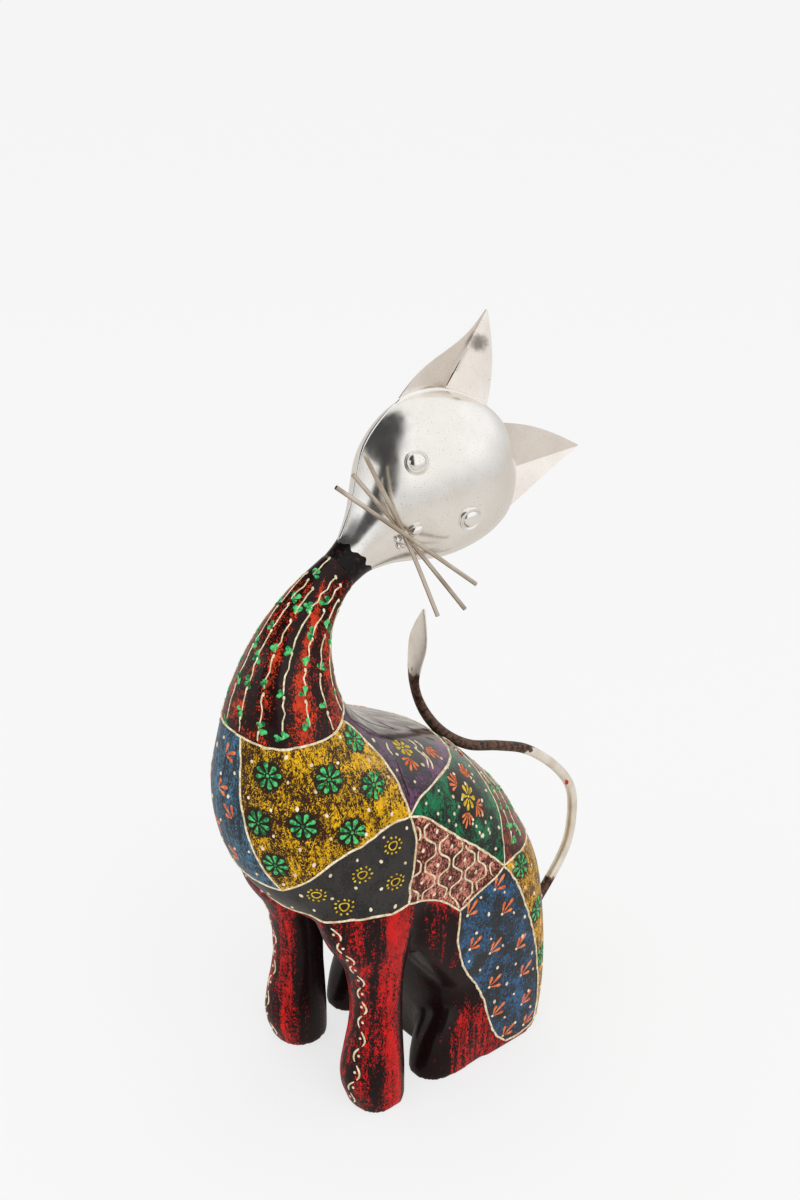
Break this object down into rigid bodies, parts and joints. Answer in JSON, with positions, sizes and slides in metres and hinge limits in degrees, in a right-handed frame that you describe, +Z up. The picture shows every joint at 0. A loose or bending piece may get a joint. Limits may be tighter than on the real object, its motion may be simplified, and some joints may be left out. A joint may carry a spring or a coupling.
{
  "type": "cat figurine",
  "caption": "Sitting cat ornament: a carved, patchwork-painted wooden body with a plated sheet-metal head turned sideways, wire whiskers and a curled metal tail.",
  "frame": {"origin": "on the ground plane, under the middle of the whole cat from the chest to the tail", "axes": "+Z up; the body faces -Y and the head looks to the cat's left, +X"},
  "size_m": [0.0978, 0.2103, 0.3486],
  "materials": {
    "painted_wood": "rubbed patchwork paint in red, yellow, green, blue, purple, salmon and black over near-black, with raised cream outlines, under gloss lacquer",
    "nickel_plate": "soft-polished warm nickel plate on pressed sheet",
    "wire": "plated wire, dull",
    "rod": "plated rod, dulled to a yellowish grey, heat-darkened brown where it crosses the back"
  },
  "bodies": {
    "root": {"body": "painted_wood", "head": "nickel_plate", "ear_left": "nickel_plate", "ear_right": "nickel_plate", "eye_left": "nickel_plate", "eye_right": "nickel_plate", "nose": "nickel_plate", "whisker_level": "wire", "whisker_falling": "wire", "whisker_rising": "wire", "tail": "rod"}
  },
  "joints": []
}
